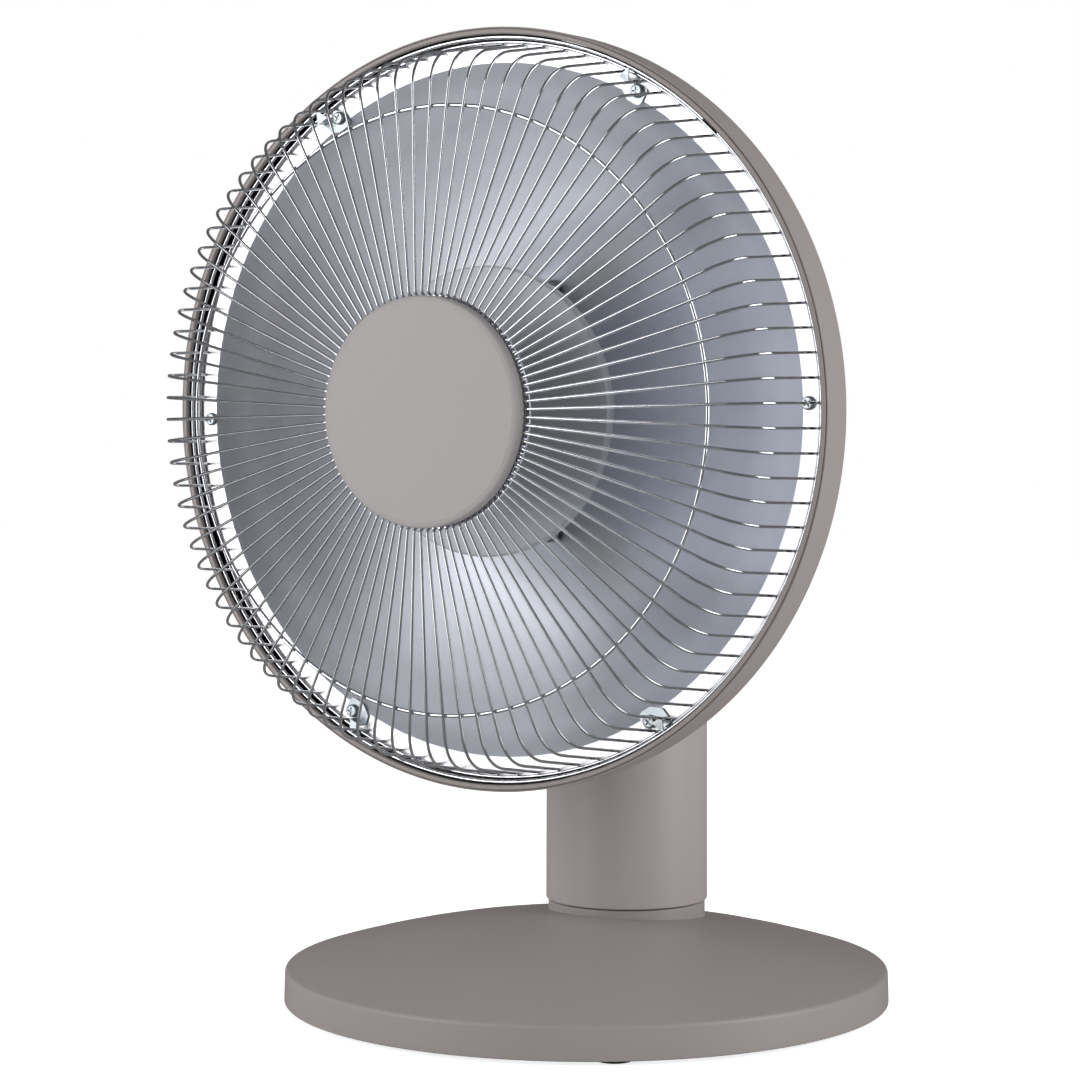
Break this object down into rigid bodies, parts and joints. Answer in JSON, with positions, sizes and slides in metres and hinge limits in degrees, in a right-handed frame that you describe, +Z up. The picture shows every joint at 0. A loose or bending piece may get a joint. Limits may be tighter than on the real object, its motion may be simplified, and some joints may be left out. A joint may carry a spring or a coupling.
{
  "type": "parabolic heater",
  "caption": "Free-standing parabolic dish heater: round wire-guarded reflector head on a turning, tilting neck, cylindrical column and domed round base.",
  "frame": {"origin": "on the floor under the middle of the round base", "axes": "+Z up; -Y is the front, the way the dish faces; +X to the right of the front view"},
  "size_m": [0.36, 0.303, 0.476],
  "materials": {
    "greige_paint": "satin",
    "greige_shell": "satin",
    "cap_paint": "satin",
    "bright_wire": "polished",
    "spun_aluminium": "satin",
    "zinc_steel": "satin",
    "cast_iron": "rough",
    "black_plastic": "matte",
    "foot_rubber": "matte",
    "lamp_ceramic": "matte",
    "quartz": "clear",
    "carbon": "matte"
  },
  "bodies": {
    "base": {"base_cover": "greige_shell", "base_plate": "zinc_steel", "ballast_ring": "cast_iron", "cord_gland": "foot_rubber", "foot_1": "foot_rubber", "foot_2": "foot_rubber", "foot_3": "foot_rubber", "foot_4": "foot_rubber", "foot_5": "foot_rubber", "swivel_post": "zinc_steel", "swivel_nut": "zinc_steel", "thrust_washer": "black_plastic", "oscillation_motor": "zinc_steel", "tip_switch": "black_plastic"},
    "plunger": {"tip_plunger": "black_plastic"},
    "cam": {"oscillation_cam": "black_plastic"},
    "column": {"turntable": "black_plastic", "swivel_arm": "zinc_steel", "column_tube": "zinc_steel", "column_shell": "greige_shell", "rear_panel": "greige_shell", "panel_screw_1": "zinc_steel", "panel_screw_2": "zinc_steel", "rotary_switch": "black_plastic", "oscillation_switch": "black_plastic", "tilt_bracket": "zinc_steel", "friction_washer_left": "black_plastic", "friction_washer_right": "black_plastic", "tilt_pin": "zinc_steel", "tilt_nut": "zinc_steel"},
    "knob": {"power_knob": "black_plastic"},
    "button": {"oscillation_button": "black_plastic"},
    "head": {"rim_hoop": "greige_paint", "rear_cover": "greige_paint", "reflector": "spun_aluminium", "guard": "bright_wire", "guard_cap": "cap_paint", "flange_screw_1": "zinc_steel", "flange_screw_2": "zinc_steel", "flange_screw_3": "zinc_steel", "flange_screw_4": "zinc_steel", "flange_screw_5": "zinc_steel", "flange_screw_6": "zinc_steel", "guard_clip_1": "zinc_steel", "guard_clip_2": "zinc_steel", "guard_clip_3": "zinc_steel", "guard_clip_4": "zinc_steel", "shade_disc": "spun_aluminium", "lamp_bracket": "zinc_steel", "lamp_tube": "quartz", "lamp_filament": "carbon", "lamp_end_top": "lamp_ceramic", "lamp_end_bottom": "lamp_ceramic", "thermal_cutout": "black_plastic", "knuckle_plate": "zinc_steel", "knuckle_screw_1": "zinc_steel", "knuckle_screw_2": "zinc_steel", "knuckle_screw_3": "zinc_steel", "tilt_knuckle": "black_plastic"}
  },
  "joints": [
    {"name": "column_swivel", "type": "hinge", "parent": "base", "child": "column", "pos_m": [0, 0.041, 0.0477], "axis": [0, 0, 1], "range_deg": [-35, 35]},
    {"name": "cam_turn", "type": "hinge", "parent": "base", "child": "cam", "pos_m": [0, -0.003, 0.0242], "axis": [0, 0, 1], "range_deg": [-107, 107]},
    {"name": "head_tilt", "type": "hinge", "parent": "column", "child": "head", "pos_m": [0, 0.022, 0.29], "axis": [1, 0, 0], "range_deg": [-20, 10]},
    {"name": "knob_turn", "type": "hinge", "parent": "column", "child": "knob", "pos_m": [0, 0.0836, 0.245], "axis": [0, -1, 0], "range_deg": [0, 90]},
    {"name": "button_press", "type": "slide", "parent": "column", "child": "button", "axis": [0, -1, 0], "range_m": [0, 0.003], "stiffness_N_per_m": 400},
    {"name": "plunger_drop", "type": "slide", "parent": "base", "child": "plunger", "axis": [0, 0, -1], "range_m": [0, 0.004], "stiffness_N_per_m": 20, "springref_m": 0.004}
  ],
  "couplings": [
    {"joint": "cam_turn", "follows": "column_swivel", "ratio": 3.03}
  ]
}
